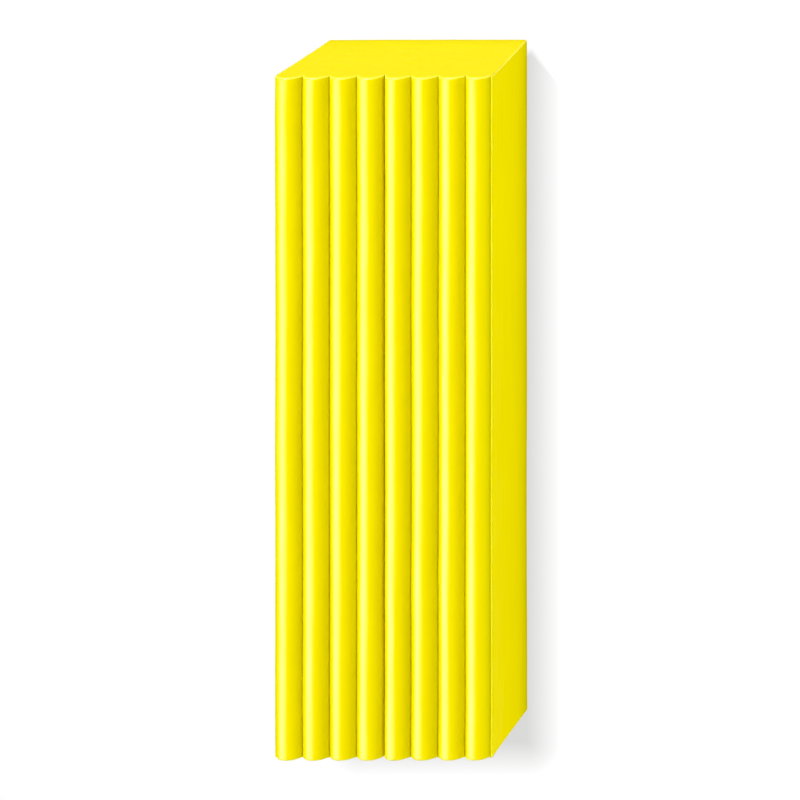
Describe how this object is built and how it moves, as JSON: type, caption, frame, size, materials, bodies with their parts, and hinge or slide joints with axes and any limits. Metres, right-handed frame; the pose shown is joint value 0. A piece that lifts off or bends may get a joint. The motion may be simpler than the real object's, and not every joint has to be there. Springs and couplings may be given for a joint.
{
  "type": "clay bar",
  "caption": "Rectangular bar of modelling clay, flat back and smooth ends, its upper face scored lengthwise into rounded ribs for dividing into portions.",
  "frame": {"origin": "centre of the flat back, which the bar lies on", "axes": "+X across the ribs, +Y along the ribs and the bar's length, +Z out of the ribbed face"},
  "size_m": [0.053, 0.1664, 0.0375],
  "materials": {
    "clay": "soft, smooth, faintly waxy satin"
  },
  "bodies": {
    "root": {"portion_1": "clay", "portion_2": "clay", "portion_3": "clay", "portion_4": "clay", "portion_5": "clay", "portion_6": "clay", "portion_7": "clay", "portion_8": "clay"}
  },
  "joints": []
}
